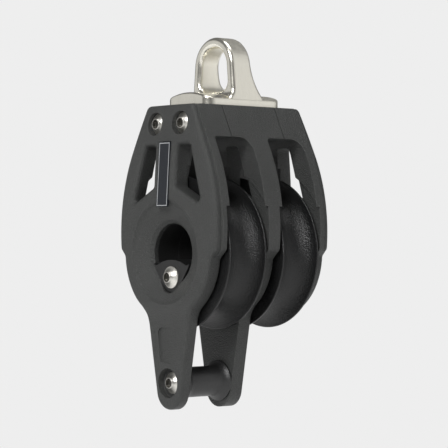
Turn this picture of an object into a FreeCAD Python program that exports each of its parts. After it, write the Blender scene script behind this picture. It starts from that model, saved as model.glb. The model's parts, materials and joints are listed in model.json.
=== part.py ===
import FreeCAD, Part
import math
import os
import Sketcher

# Double sheave block with a becket, for 10 mm rope.
# The origin is the middle of the hollow hub, on the sheaves' axis, midway between the sheaves.
# +X runs across the cheeks, +Y along the sheaves' axis to the rear cheek, +Z up to the head's eye.
# All lengths are millimetres.

SIZES = {
    # sheaves
    "sheave_radius": 20.0,
    "sheave_width": 12.54,
    "sheave_pitch": 18.26,
    "rope_groove_radius": 5.75,
    "rope_groove_rise": 0.1,
    "sheave_boss_radius": 12.4,
    "sheave_boss_width": 11.8,
    "rim_round": 0.22,
    # ball bearing inside each sheave
    "ball_radius": 1.19,
    "ball_ring_radius": 10.6,
    "ball_row_shift": 3.3,
    "ball_count": 25,
    "track_radius": 1.29,
    "track_rise": 0.75,
    "track_reach": 1.05,
    "race_flange_radius": 11.9,
    "race_flange_width": 0.75,
    # plates and cheeks, as distances from the mid-plane
    "plate_thickness": 3.85,
    "plate_lip": 2.9,
    "cheek_inner": 16.13,
    "cheek_lip": 15.1,
    "cheek_band": 17.6,
    "cheek_block": 23.0,
    "crown_crest": 21.2,
    "crown_cross_radius": 115.0,
    "crown_long_radius": 280.0,
    "crown_centre_up": 3.0,
    "crown_end_up": -11.0,
    "crown_waste": 6.0,
    # outline of the cheeks and the middle plate
    "half_width": 19.9,
    "face_inset": 0.5,
    "side_radius": 47.0,
    "side_centre_up": 6.0,
    "top_half_width": 9.6,
    "top_up": 38.2,
    "shoulder_up": 0.9,
    "shoulder_foot_half": 16.2,
    "shoulder_foot_up": -2.2,
    "disc_radius": 17.1,
    "sheave_recess_radius": 22.9,
    "bridge_under": 29.8,
    "bridge_foot_half": 13.62,
    "parting_bevel": 0.16,
    "top_corner_radius": 1.8,
    "shoulder_radius": 1.5,
    "arm_root_fillet": 6.0,
    "step_fillet": 1.2,
    "face_edge_radius": 1.0,
    "window_corner_radius": 0.9,
    "window_bevel": 1.3,
    "throat_small_radius": 0.9,
    "throat_large_radius": 4.0,
    # becket arms, bobbin and screw
    "arm_root_up": -10.0,
    "arm_root_radius": 9.4,
    "arm_end_up": -35.5,
    "arm_end_radius": 4.9,
    "arm_face": 19.45,
    "arm_taper": 0.25,
    "arm_bend_radius": 14.4,
    "panel_top_up": -19.2,
    "panel_top_half": 3.9,
    "panel_foot_up": -28.4,
    "panel_foot_half": 3.0,
    "panel_depth": 0.5,
    "panel_tilt": 3.4,
    "panel_corner": 1.6,
    "becket_up": -33.5,
    "bobbin_core_radius": 3.95,
    "bobbin_flange_radius": 5.3,
    "bobbin_land": 0.5,
    "bobbin_flare": 2.4,
    "bobbin_flare_radius": 2.7,
    # hollow hub
    "hub_radius": 7.7,
    "hub_pin_up": -6.24,
    "tab_radius": 4.1,
    "tab_gap": 0.12,
    "tab_face": 18.0,
    "tab_crest_radius": 12.5,
    "tab_crest_up": -1.7,
    "dish_crest": 21.0,
    "dish_reach": 14.6,
    "dish_lip_radius": 2.0,
    "dish_slope": 45,
    "dish_foot_radius": 2.0,
    "dish_floor_radius": 12.62,
    "dish_lean": 16,
    "hub_chamfer": 0.9,
    "tab_corner": 1.4,
    # windows
    "window_inner_half": 4.3,
    "window_top_up": 27.7,
    "window_top_half": 8.9,
    "window_tip_half": 13.7,
    "window_tip_up": 12.4,
    "window_heel_up": 17.0,
    # pins and screws
    "pin_radius": 2.0,
    "pin_hole_radius": 2.05,
    "pin_half_length": 16.0,
    "head_pin_half": 5.0,
    "head_pin_up": 33.4,
    "screw_radius": 1.45,
    "screw_hole_radius": 1.6,
    "screw_head_radius": 2.85,
    "screw_head_height": 1.65,
    "screw_edge": 0.25,
    "screw_crown_radius": 1.35,
    "screw_dome_radius": 2.6,
    "screw_length": 8.0,
    "becket_screw_length": 18.0,
    "socket_across": 2.2,
    "socket_depth": 1.04,
    "head_seat": 17.65,
    "head_recess_radius": 3.05,
    "hub_seat": 18.0,
    "becket_seat": 17.3,
    "becket_recess_radius": 3.85,
    "screw_tip": 0.3,
    "thread_gap": 0.03,
    "hub_pin_extra": 0.35,
    "nut_across": 5.5,
    "nut_thickness": 2.4,
    # head
    "flange_half_x": 8.65,
    "flange_half_y": 12.9,
    "flange_thickness": 1.8,
    "flange_corner": 3.0,
    "flange_dome_radius": 22.7,
    "flange_edge_radius": 0.6,
    "eye_half_width": 7.72,
    "eye_centre_up": 48.78,
    "eye_half_thickness": 2.9,
    "eye_waist_up": 51.0,
    "eye_root_half": 7.0,
    "eye_flare_radius": 16.0,
    "eye_hole_half": 5.0,
    "eye_hole_low": 42.2,
    "tang_half_x": 7.6,
    "tang_half_y": 6.5,
    "tang_low": 30.75,
    "tang_gap": 0.1,
    "eye_crest_half": 2.7,
    "eye_front": 4.0,
    "eye_foot_up": 42.8,
    "eye_foot_radius": 2.8,
    "eye_toe_slope": 30,
    "eye_lean": 5,
    "eye_root_up": 40.2,
    "ring_low": 38.6,
    "eye_hole_corner": 2.8,
    "eye_edge_radius": 1.2,
    # badge
    "badge_gap": 0.1,
    "badge_corner": 0.3,
    "badge_half_width": 2.25,
    "badge_half_length": 8.35,
    "badge_up": 20.25,
    "badge_face": 20.75,
    "badge_thickness": 0.5,
    "badge_tilt": 3.5,
}

doc = FreeCAD.newDocument("double_block")
sheet = doc.addObject("Spreadsheet::Sheet", "Size")
for row, (alias, size) in enumerate(SIZES.items(), 1):
    sheet.set(f"A{row}", alias)
    sheet.set(f"B{row}", str(size))
    sheet.setAlias(f"B{row}", alias)
doc.recompute()

FRONT = -1
REAR = 1
CROWN_SWING = 12
PARTS = []


# ---------------------------------------------------------------- drawing helpers


def number(expression):
    """The present value of an expression in the sheet's names."""
    return float(sheet.evalExpression(expression))


def bind(sketch, kind, expression, *where):
    """Add a constraint whose value follows an expression."""
    index = sketch.addConstraint(Sketcher.Constraint(kind, *where, number(expression)))
    sketch.renameConstraint(index, f"{kind}{index}")
    sketch.setExpression(f"Constraints.{kind}{index}", expression)


def pin(sketch, element, end, across, up):
    """Hold one end of an element at a place given by two expressions."""
    for kind, axis, expression in (("DistanceX", -2, across), ("DistanceY", -1, up)):
        if abs(number(expression)) < 1e-9:
            sketch.addConstraint(Sketcher.Constraint("PointOnObject", element, end, axis))
        else:
            bind(sketch, kind, expression, -1, 1, element, end)


def arc_between(centre, radius, start, stop):
    """The anticlockwise arc about a centre from one point to another."""
    begin = math.atan2(start.y - centre.y, start.x - centre.x)
    finish = math.atan2(stop.y - centre.y, stop.x - centre.x)
    if finish <= begin:
        finish += 2 * math.pi
    circle = Part.Circle(centre, FreeCAD.Vector(0, 0, 1), radius)
    return Part.ArcOfCircle(circle, begin, finish)


def loop(sketch, corners):
    """Draw a closed outline through pinned corners.

    A corner is (across, up) before a straight edge, or (across, up, radius, turn) before an arc,
    where turn is 1 for an anticlockwise arc and -1 for a clockwise one.
    """
    points = [FreeCAD.Vector(number(c[0]), number(c[1]), 0) for c in corners]
    edges = []
    for index, corner in enumerate(corners):
        start = points[index]
        stop = points[(index + 1) % len(points)]
        if len(corner) == 2:
            edges.append((sketch.addGeometry(Part.LineSegment(start, stop)), 1, 2))
            continue
        radius = number(corner[2])
        turn = corner[3]
        chord = stop - start
        reach = math.sqrt(max(radius**2 - (chord.Length / 2) ** 2, 0))
        sideways = FreeCAD.Vector(-chord.y, chord.x, 0).normalize() * (reach * turn)
        centre = (start + stop) * 0.5 + sideways
        if turn > 0:
            element = sketch.addGeometry(arc_between(centre, radius, start, stop))
            edges.append((element, 1, 2))
        else:
            element = sketch.addGeometry(arc_between(centre, radius, stop, start))
            edges.append((element, 2, 1))
        if reach < 1e-9:
            bind(sketch, "DistanceY", corner[1], -1, 1, element, 3)
        else:
            bind(sketch, "Radius", corner[2], element)
    for index, (element, first, last) in enumerate(edges):
        following, following_first, _ = edges[(index + 1) % len(edges)]
        joint = Sketcher.Constraint("Coincident", element, last, following, following_first)
        sketch.addConstraint(joint)
        pin(sketch, element, first, corners[index][0], corners[index][1])


def circle(sketch, across, up, radius):
    """Draw a circle at a place given by expressions."""
    centre = FreeCAD.Vector(number(across), number(up), 0)
    shape = Part.Circle(centre, FreeCAD.Vector(0, 0, 1), number(radius))
    element = sketch.addGeometry(shape)
    pin(sketch, element, 3, across, up)
    bind(sketch, "Radius", radius, element)


def belt(sketch, upper_up, upper_radius, lower_up, lower_radius):
    """Draw the outline of a belt round two circles on the vertical axis."""
    high, big = number(upper_up), number(upper_radius)
    low, small = number(lower_up), number(lower_radius)
    lean = math.asin((big - small) / (high - low))
    tops = [FreeCAD.Vector(s * big * math.cos(lean), high - big * math.sin(lean), 0) for s in (1, -1)]
    feet = [FreeCAD.Vector(s * small * math.cos(lean), low - small * math.sin(lean), 0) for s in (1, -1)]
    upper = sketch.addGeometry(arc_between(FreeCAD.Vector(0, high, 0), big, tops[0], tops[1]))
    left = sketch.addGeometry(Part.LineSegment(tops[1], feet[1]))
    lower = sketch.addGeometry(arc_between(FreeCAD.Vector(0, low, 0), small, feet[1], feet[0]))
    right = sketch.addGeometry(Part.LineSegment(feet[0], tops[0]))
    order = [upper, left, lower, right]
    for index, element in enumerate(order):
        following = order[(index + 1) % 4]
        sketch.addConstraint(Sketcher.Constraint("Tangent", element, 2, following, 1))
    for element, up, radius in ((upper, upper_up, upper_radius), (lower, lower_up, lower_radius)):
        pin(sketch, element, 3, "0", up)
        bind(sketch, "Radius", radius, element)


def unit(vector):
    """The vector's direction, at length one."""
    return vector * (1 / vector.Length)


def mirrored(point):
    """A point's mirror image across the vertical axis."""
    return FreeCAD.Vector(-point.x, point.y, 0)


def draw_point(sketch, place):
    """A construction point, which constraints then hold."""
    return sketch.addGeometry(Part.Point(place), True)


def cheek_outline(sketch, inset):
    """Draw the wide part of a cheek: flat top, straight upper sides, round flanks, shoulders."""
    top_half = f"Size.top_half_width - {inset}"
    side_radius = f"Size.side_radius - {inset}"
    centre_half = "Size.half_width - Size.side_radius"
    foot_half = f"Size.shoulder_foot_half - {inset}"
    corner_round = number("Size.top_corner_radius")
    shoulder_round = number("Size.shoulder_radius")
    flank_radius = number(side_radius)
    corner = FreeCAD.Vector(number(top_half), number("Size.top_up"), 0)
    centre = FreeCAD.Vector(number(centre_half), number("Size.side_centre_up"), 0)
    foot = FreeCAD.Vector(number(foot_half), number("Size.shoulder_foot_up"), 0)
    # where the straight side touches the round flank
    reach = corner - centre
    turn = math.atan2(reach.y, reach.x) - math.acos(flank_radius / reach.Length)
    touch = centre + FreeCAD.Vector(math.cos(turn), math.sin(turn), 0) * flank_radius
    # the round between the top and the straight side
    side_way = unit(touch - corner)
    half_angle = math.acos(side_way.x * -1) / 2
    setback = corner_round / math.tan(half_angle)
    top_end = corner - FreeCAD.Vector(setback, 0, 0)
    side_start = corner + side_way * setback
    top_round_centre = top_end - FreeCAD.Vector(0, corner_round, 0)
    # the round between the flank and the step down to the hub's disc
    drop = number("Size.shoulder_up") - centre.y
    shoulder = FreeCAD.Vector(centre.x + math.sqrt(flank_radius**2 - drop**2), centre.y + drop, 0)
    step_way = unit(foot - shoulder)
    inward = FreeCAD.Vector(step_way.y, -step_way.x, 0)
    start = shoulder + inward * shoulder_round - centre
    along = start.dot(step_way)
    spare = start.dot(start) - (flank_radius - shoulder_round) ** 2
    slide = -along + math.sqrt(along**2 - spare)
    if abs(slide) > abs(-along - math.sqrt(along**2 - spare)):
        slide = -along - math.sqrt(along**2 - spare)
    round_centre = centre + start + step_way * slide
    flank_end = centre + unit(round_centre - centre) * flank_radius
    step_start = round_centre - inward * shoulder_round

    top = sketch.addGeometry(Part.LineSegment(top_end, mirrored(top_end)))
    sides = []
    for flip in (mirrored, FreeCAD.Vector):
        left = flip is mirrored
        ends = [flip(p) for p in (top_end, side_start, touch, flank_end, step_start, foot)]
        centres = [flip(top_round_centre), flip(centre), flip(round_centre)]
        radii = [corner_round, flank_radius, shoulder_round]
        arcs = []
        for middle, radius, (first, last) in zip(centres, radii, ((0, 1), (2, 3), (3, 4))):
            pair = (ends[first], ends[last]) if left else (ends[last], ends[first])
            arcs.append(sketch.addGeometry(arc_between(middle, radius, *pair)))
        lines = []
        for first, last in ((1, 2), (4, 5)):
            pair = (ends[first], ends[last]) if left else (ends[last], ends[first])
            lines.append(sketch.addGeometry(Part.LineSegment(*pair)))
        out, back = (2, 1) if left else (1, 2)
        chain = [arcs[0], lines[0], arcs[1], arcs[2], lines[1]]
        for element, following in zip(chain, chain[1:]):
            sketch.addConstraint(Sketcher.Constraint("Tangent", element, out, following, back))
        sketch.addConstraint(Sketcher.Constraint("Tangent", top, 2 if left else 1, arcs[0], back))
        sign = "-" if left else ""
        top_point = draw_point(sketch, flip(corner))
        pin(sketch, top_point, 1, f"{sign}({top_half})", "Size.top_up")
        sketch.addConstraint(Sketcher.Constraint("PointOnObject", top_point, 1, lines[0]))
        step_point = draw_point(sketch, flip(shoulder))
        bind(sketch, "DistanceY", "Size.shoulder_up", -1, 1, step_point, 1)
        for element in (arcs[1], lines[1]):
            sketch.addConstraint(Sketcher.Constraint("PointOnObject", step_point, 1, element))
        pin(sketch, arcs[1], 3, f"{sign}({centre_half})", "Size.side_centre_up")
        pin(sketch, lines[1], out, f"{sign}({foot_half})", "Size.shoulder_foot_up")
        bind(sketch, "DistanceY", "Size.top_up", -1, 1, top, 2 if left else 1)
        for element, radius in zip(arcs, ("Size.top_corner_radius", side_radius, "Size.shoulder_radius")):
            bind(sketch, "Radius", radius, element)
        sides.append(lines[1])
    base = sketch.addGeometry(Part.LineSegment(mirrored(foot), foot))
    sketch.addConstraint(Sketcher.Constraint("Coincident", sides[0], 2, base, 1))
    sketch.addConstraint(Sketcher.Constraint("Coincident", sides[1], 1, base, 2))


# ---------------------------------------------------------------- feature helpers


def new_body(label):
    """A body for one sub-part, whose label names its file."""
    body = doc.addObject("PartDesign::Body", label)
    body.Label = label
    PARTS.append(body)
    return body


def origin_item(body, role):
    """One of the body's own origin planes or axes."""
    return next(item for item in body.Origin.OriginFeatures if item.Role == role)


def sketch_on(body, role, distance="0"):
    """A sketch on one of the body's origin planes, moved along the plane's normal."""
    sketch = body.newObject("Sketcher::SketchObject", f"{body.Label}_sketch")
    sketch.AttachmentSupport = (origin_item(body, role), [""])
    sketch.MapMode = "FlatFace"
    sketch.setExpression("AttachmentOffset.Base.z", distance)
    return sketch


def facing_sketch(body, y):
    """A sketch across the sheaves' axis, X across and Z up, at a distance y along it."""
    return sketch_on(body, "XZ_Plane", f"-({y})")


def axial_sketch(body, x="0"):
    """A sketch along the sheaves' axis, Y across and Z up, at a distance x beside it."""
    return sketch_on(body, "YZ_Plane", x)


def pad(sketch, length, towards):
    """Add the sketch's outline, extruded along Y towards -1 or 1, or to both sides for 0."""
    body = sketch.getParentGeoFeatureGroup()
    feature = body.newObject("PartDesign::Pad", f"{body.Label}_pad")
    feature.Profile = sketch
    feature.setExpression("Length", length)
    feature.Midplane = towards == 0
    feature.Reversed = towards > 0
    return feature


def pocket(sketch, length, towards):
    """Cut the sketch's outline, extruded along Y towards -1 or 1, or to both sides for 0."""
    body = sketch.getParentGeoFeatureGroup()
    feature = body.newObject("PartDesign::Pocket", f"{body.Label}_pocket")
    feature.Profile = sketch
    feature.setExpression("Length", length)
    feature.Midplane = towards == 0
    feature.Reversed = towards < 0
    return feature


def turned(sketch, kind, axis):
    """Revolve a sketch a full turn about an axis of its own."""
    body = sketch.getParentGeoFeatureGroup()
    feature = body.newObject(f"PartDesign::{kind}", f"{body.Label}_{kind.lower()}")
    feature.Profile = sketch
    feature.ReferenceAxis = (sketch, [axis])
    feature.Angle = 360
    return feature


def edges_of(body, wanted):
    """The names of the edges of a body that pass a test."""
    doc.recompute()
    return [f"Edge{i}" for i, edge in enumerate(body.Shape.Edges, 1) if wanted(edge)]


def dress(body, kind, size, wanted):
    """Fillet or chamfer the edges that pass a test."""
    names = edges_of(body, wanted)
    base = body.Tip
    feature = body.newObject(f"PartDesign::{kind}", f"{body.Label}_{kind.lower()}")
    feature.Base = (base, names)
    feature.setExpression("Radius" if kind == "Fillet" else "Size", size)
    doc.recompute()
    return feature


def extent(edge):
    """The lowest and highest corners of the box round an edge, from points along it."""
    points = edge.discretize(9)
    low = FreeCAD.Vector(*(min(p[k] for p in points) for k in range(3)))
    high = FreeCAD.Vector(*(max(p[k] for p in points) for k in range(3)))
    return low, high


def along(edge, axis):
    """Whether an edge is a straight line along one axis, 0 to 2 for X to Z."""
    low, high = extent(edge)
    return all((high[k] - low[k] > 0.3) == (k == axis) for k in range(3))


def stands_at(edge, x, z, reach=0.3):
    """Whether an edge along Y stands at a place on either side of the block."""
    low, high = extent(edge)
    return along(edge, 1) and abs(abs(low.x) - x) < reach and abs(low.z - z) < reach


# ---------------------------------------------------------------- shared cuts


def cut_windows(body, depth, y, towards):
    """The two tall windows, left and right of the spine."""
    sketch = facing_sketch(body, y)
    for sign in ("", "-"):
        loop(
            sketch,
            [
                (f"{sign}Size.window_inner_half", "Size.window_heel_up"),
                (f"{sign}Size.window_tip_half", "Size.window_tip_up"),
                (f"{sign}Size.window_top_half", "Size.window_top_up"),
                (f"{sign}Size.window_inner_half", "Size.window_top_up"),
            ],
        )
    pocket(sketch, depth, towards)


def window_corner(edge):
    """Whether an edge is one of the windows' four corners."""
    places = (
        ("Size.window_inner_half", "Size.window_heel_up"),
        ("Size.window_tip_half", "Size.window_tip_up"),
        ("Size.window_top_half", "Size.window_top_up"),
        ("Size.window_inner_half", "Size.window_top_up"),
    )
    return any(stands_at(edge, number(x), number(z)) for x, z in places)


def hollow_hub(body):
    """The hollow centre, round above and closed below by the crest of the screw's tab."""
    hub = number("Size.hub_radius")
    crest = number("Size.tab_crest_radius")
    bend = number("Size.tab_corner")
    middle = FreeCAD.Vector(0, number("Size.tab_crest_up - Size.tab_crest_radius"), 0)
    up = ((hub - bend) ** 2 - (crest + bend) ** 2 + middle.y**2) / (2 * middle.y)
    right = FreeCAD.Vector(math.sqrt((hub - bend) ** 2 - up**2), up, 0)
    high = unit(right) * hub
    low = middle + unit(right - middle) * crest
    centre = FreeCAD.Vector(0, 0, 0)
    sketch = facing_sketch(body, "0")
    over = sketch.addGeometry(arc_between(centre, hub, high, mirrored(high)))
    left_bend = sketch.addGeometry(arc_between(mirrored(right), bend, mirrored(high), mirrored(low)))
    under = sketch.addGeometry(arc_between(middle, crest, low, mirrored(low)))
    right_bend = sketch.addGeometry(arc_between(right, bend, low, high))
    joints = ((over, 2, left_bend, 1), (left_bend, 2, under, 2), (under, 1, right_bend, 1))
    for first, first_end, second, second_end in joints + ((right_bend, 2, over, 1),):
        sketch.addConstraint(Sketcher.Constraint("Tangent", first, first_end, second, second_end))
    pin(sketch, over, 3, "0", "0")
    pin(sketch, under, 3, "0", "Size.tab_crest_up - Size.tab_crest_radius")
    bind(sketch, "Radius", "Size.hub_radius", over)
    bind(sketch, "Radius", "Size.tab_crest_radius", under)
    bind(sketch, "Radius", "Size.tab_corner", left_bend)
    bind(sketch, "Radius", "Size.tab_corner", right_bend)
    pocket(sketch, "4 * Size.cheek_block", 0)


def cut_round(body, spots, radius, y, depth, towards):
    """Round holes or recesses at several places, cut along Y."""
    sketch = facing_sketch(body, y)
    for across, up in spots:
        circle(sketch, across, up, radius)
    pocket(sketch, depth, towards)


HUB = [("0", "0")]
HEAD_PINS = [("Size.head_pin_half", "Size.head_pin_up"), ("-Size.head_pin_half", "Size.head_pin_up")]
HUB_PIN = [("0", "Size.hub_pin_up")]
BECKET = [("0", "Size.becket_up")]


# ---------------------------------------------------------------- mouldings


def becket_arm(body, y, length, towards):
    """The arm that runs down from the hub to the becket."""
    sketch = facing_sketch(body, y)
    belt(sketch, "Size.arm_root_up", "Size.arm_root_radius", "Size.arm_end_up", "Size.arm_end_radius")
    pad(sketch, length, towards)


def arm_root_corner(edge):
    """Whether an edge is where the arm's side meets the hub's disc."""
    low, high = extent(edge)
    return along(edge, 1) and 6 < abs(low.x) < 12 and -17 < low.z < -9


def step_corner(edge):
    """Whether an edge is where a shoulder's step meets the hub's disc."""
    low, high = extent(edge)
    disc = number("Size.disc_radius")
    return along(edge, 1) and low.z > -2.5 and abs(math.hypot(low.x, low.z) - disc) < 0.01


def add_bridge(body, y, length, towards):
    """Part of the bridge that joins the plates above the sheaves."""
    sketch = facing_sketch(body, y)
    loop(
        sketch,
        [
            ("Size.top_half_width", "Size.top_up"),
            ("-Size.top_half_width", "Size.top_up"),
            ("-Size.bridge_foot_half", "Size.bridge_under"),
            ("Size.bridge_foot_half", "Size.bridge_under"),
        ],
    )
    pad(sketch, length, towards)


def crown_section(body, side):
    """The waste outside the crown, as a section at the height of its crest."""
    sketch = sketch_on(body, "XY_Plane", "Size.crown_centre_up")
    half = "1.2 * Size.half_width"
    sag = f"(Size.crown_cross_radius - sqrt(Size.crown_cross_radius^2 - ({half})^2))"
    edge = f"{side} * (Size.crown_crest - {sag})"
    clear = f"{side} * (Size.cheek_block + Size.crown_waste)"
    loop(
        sketch,
        [
            (f"-({half})", edge, "Size.crown_cross_radius", -side),
            (half, edge),
            (half, clear),
            (f"-({half})", clear),
        ],
    )
    return sketch


def crown(body, side, arm):
    """Cut the outer face to a crown, which runs down into the flat becket arm if there is one."""
    sketch = crown_section(body, side)
    axis_y = f"{side} * (Size.crown_crest - Size.crown_long_radius)"
    ends = [FreeCAD.Vector(x, number(axis_y), 0) for x in (-10, 10)]
    axis = sketch.addGeometry(Part.LineSegment(*ends), True)
    sketch.addConstraint(Sketcher.Constraint("Horizontal", axis))
    pin(sketch, axis, 1, "-Size.half_width / 2", axis_y)
    bind(sketch, "DistanceX", "Size.half_width", axis, 1, axis, 2)
    groove = turned(sketch, "Groove", "Axis0")
    groove.Angle = CROWN_SWING if arm else 2 * CROWN_SWING
    groove.Midplane = not arm
    groove.Reversed = side == FRONT
    if arm:
        pipe = body.newObject("PartDesign::SubtractivePipe", f"{body.Label}_pipe")
        pipe.Profile = crown_section(body, side)
        pipe.Spine = (arm_path(body, side), ["Edge1", "Edge2", "Edge3", "Edge4"])


def arm_path(body, side):
    """The crest line below the hub: the crown, an S bend inwards, and the straight arm."""
    sketch = axial_sketch(body)
    crown_radius = number("Size.crown_long_radius")
    bend = number("Size.arm_bend_radius")
    start_up, end_up = number("Size.crown_centre_up"), number("Size.crown_end_up")
    face, foot = number("Size.arm_face"), number("Size.arm_face - Size.arm_taper")
    low = number("Size.arm_end_up - 2 * Size.arm_end_radius")
    crown_lean = math.asin((start_up - end_up) / crown_radius)
    arm_lean = math.atan((face - foot) / (number("Size.arm_root_up") - low))
    crown_out = number("Size.crown_crest") - crown_radius * (1 - math.cos(crown_lean))
    cosine = ((face - crown_out) / bend + math.cos(crown_lean) + math.cos(arm_lean)) / 2
    lean = math.acos(cosine)

    def place(out, up):
        return FreeCAD.Vector(side * out, up, 0)

    def aside(angle):
        return place(math.cos(angle), -math.sin(angle))

    crown_end = place(crown_out, end_up)
    first_centre = crown_end - aside(crown_lean) * bend
    middle = first_centre + aside(lean) * bend
    second_centre = middle + aside(lean) * bend
    last = second_centre - aside(arm_lean) * bend
    crown_centre = place(number("Size.crown_crest") - crown_radius, start_up)
    crest = place(number("Size.crown_crest"), start_up)
    pieces = []
    for centre, radius, begin, finish, turn in (
        (crown_centre, "Size.crown_long_radius", crest, crown_end, -side),
        (first_centre, "Size.arm_bend_radius", crown_end, middle, -side),
        (second_centre, "Size.arm_bend_radius", middle, last, side),
    ):
        ends = (begin, finish) if turn > 0 else (finish, begin)
        element = sketch.addGeometry(arc_between(centre, number(radius), *ends))
        bind(sketch, "Radius", radius, element)
        pieces.append((element, 1, 2) if turn > 0 else (element, 2, 1))
    line = sketch.addGeometry(Part.LineSegment(last, place(foot, low)))
    pieces.append((line, 1, 2))
    for (element, _, out), (following, back, _) in zip(pieces, pieces[1:]):
        sketch.addConstraint(Sketcher.Constraint("Tangent", element, out, following, back))
    crown_arc, crown_start, crown_stop = pieces[0]
    crown_y = f"{side} * (Size.crown_crest - Size.crown_long_radius)"
    pin(sketch, crown_arc, 3, crown_y, "Size.crown_centre_up")
    bind(sketch, "DistanceY", "Size.crown_centre_up", -1, 1, crown_arc, crown_start)
    bind(sketch, "DistanceY", "Size.crown_end_up", -1, 1, crown_arc, crown_stop)
    bind(sketch, "DistanceX", f"{side} * Size.arm_face", -1, 1, line, 1)
    arm_foot = "Size.arm_end_up - 2 * Size.arm_end_radius"
    pin(sketch, line, 2, f"{side} * (Size.arm_face - Size.arm_taper)", arm_foot)
    return sketch


def dish_hub(body, side):
    """The shallow dish round the hollow hub: a soft lip, a slope, a soft foot and a chamfered rim."""
    sketch = axial_sketch(body)
    outside = f"{side} * 1.5 * Size.cheek_block"
    lip = "Size.dish_lip_radius"
    slope = "cos(Size.dish_slope * 1 deg)"
    lip_foot_y = f"Size.dish_crest - {lip} * (1 - {slope})"
    lip_foot_r = f"(Size.dish_reach - {lip} * {slope})"
    corner_y = f"({lip_foot_y} - {lip_foot_r} + Size.dish_floor_radius)"
    spread = "Size.dish_foot_radius * tan((Size.dish_slope - Size.dish_lean) * 0.5 deg)"
    foot_top = (
        f"{side} * ({corner_y} + {spread} * {slope})",
        f"Size.dish_floor_radius + {spread} * {slope}",
    )
    foot_low = (
        f"{side} * ({corner_y} - {spread} * sin(Size.dish_lean * 1 deg))",
        f"Size.dish_floor_radius - {spread} * cos(Size.dish_lean * 1 deg)",
    )
    rim_radius = "Size.hub_radius + Size.hub_chamfer"
    fall = f"(Size.dish_floor_radius - {rim_radius}) * tan(Size.dish_lean * 1 deg)"
    loop(
        sketch,
        [
            (outside, "0"),
            (outside, "Size.dish_reach"),
            (f"{side} * Size.dish_crest", "Size.dish_reach", lip, -side),
            (f"{side} * ({lip_foot_y})", lip_foot_r),
            (*foot_top, "Size.dish_foot_radius", side),
            foot_low,
            (f"{side} * ({corner_y} - {fall})", rim_radius),
            (f"{side} * ({corner_y} - {fall} - Size.hub_chamfer)", "Size.hub_radius"),
            (f"{side} * ({corner_y} - {fall} - Size.hub_chamfer)", "0"),
        ],
    )
    turned(sketch, "Groove", "H_Axis")


def on_face_rim(edge):
    """Whether an edge runs round the outer face, and isn't a seam across it."""
    low, high = extent(edge)
    across = low.x * high.x < 0
    at_end = low.z > number("Size.top_up") - 0.5 or high.z < number("Size.arm_end_up") + 0.5
    return min(abs(low.y), abs(high.y)) > number("Size.cheek_band") + 0.2 and (at_end or not across)


def window_rim(edge):
    """Whether an edge is the outer rim of a window."""
    low, high = extent(edge)
    outside = min(abs(low.y), abs(high.y)) > number("Size.cheek_band")
    beside = low.x * high.x > 0 and max(abs(low.x), abs(high.x)) < number("Size.window_tip_half") + 0.5
    within = low.z > number("Size.window_tip_up") - 1 and high.z < number("Size.window_top_up") + 1
    return outside and beside and within


def parting_edge(edge):
    """Whether an edge is where the bridge's outside meets a parting face."""
    low, high = extent(edge)
    parting = number("Size.sheave_pitch / 2")
    flat = high.y - low.y < 0.01 and abs(abs(low.y) - parting) < 0.01
    return flat and low.z > number("Size.bridge_under") - 0.01 and edge.Length > 3


def throat_corner(edge, y):
    """Whether an edge is the inner corner between a plate at y and the bridge above it."""
    low, high = extent(edge)
    return along(edge, 0) and abs(low.y - y) < 0.01 and abs(low.z - number("Size.bridge_under")) < 0.01


def make_cheek(label, side, throat_radius, arm):
    """A side cheek: flat inside, crowned and dished outside, with its half of the bridge."""
    body = new_body(label)
    lip_y = f"{side} * Size.cheek_lip"
    inner_y = f"{side} * Size.cheek_inner"
    through = "4 * Size.cheek_block"
    thick = "Size.cheek_block - Size.cheek_inner"
    band = facing_sketch(body, lip_y)
    cheek_outline(band, "0")
    pad(band, "Size.cheek_band - Size.cheek_lip", side)
    cut_round(body, HUB, "Size.sheave_recess_radius", lip_y, "Size.cheek_inner - Size.cheek_lip", side)
    add_bridge(body, f"{side} * Size.sheave_pitch / 2", "Size.cheek_inner - Size.sheave_pitch / 2", side)
    dress(body, "Chamfer", "Size.parting_bevel", parting_edge)
    dress(body, "Fillet", throat_radius, lambda edge: throat_corner(edge, number(lip_y)))
    face = facing_sketch(body, inner_y)
    cheek_outline(face, "Size.face_inset")
    pad(face, thick, side)
    disc = facing_sketch(body, inner_y)
    circle(disc, "0", "0", "Size.disc_radius")
    pad(disc, thick, side)
    if arm:
        becket_arm(body, inner_y, thick, side)
        dress(body, "Fillet", "Size.arm_root_fillet", arm_root_corner)
    dress(body, "Fillet", "Size.step_fillet", step_corner)
    crown(body, side, arm)
    dress(body, "Fillet", "Size.face_edge_radius", on_face_rim)
    dish_hub(body, side)
    opening = facing_sketch(body, "0")
    belt(opening, "0", "Size.hub_radius", "Size.hub_pin_up", "Size.tab_radius")
    pocket(opening, through, 0)
    cut_windows(body, through, "0", 0)
    dress(body, "Fillet", "Size.window_corner_radius", window_corner)
    dress(body, "Fillet", "Size.window_bevel", window_rim)
    cut_round(body, HEAD_PINS, "Size.head_recess_radius", f"{side} * Size.head_seat", "8", side)
    cut_round(body, HEAD_PINS, "Size.screw_hole_radius", "0", through, 0)
    cut_round(body, HEAD_PINS, "Size.pin_hole_radius", "0", "Size.pin_half_length", side)
    if arm:
        cut_round(body, BECKET, "Size.becket_recess_radius", f"{side} * Size.becket_seat", "8", side)
        cut_round(body, BECKET, "Size.screw_hole_radius", "0", through, 0)
        mark_arm(body, side)
        cut_badge_seat(body, side)


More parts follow.
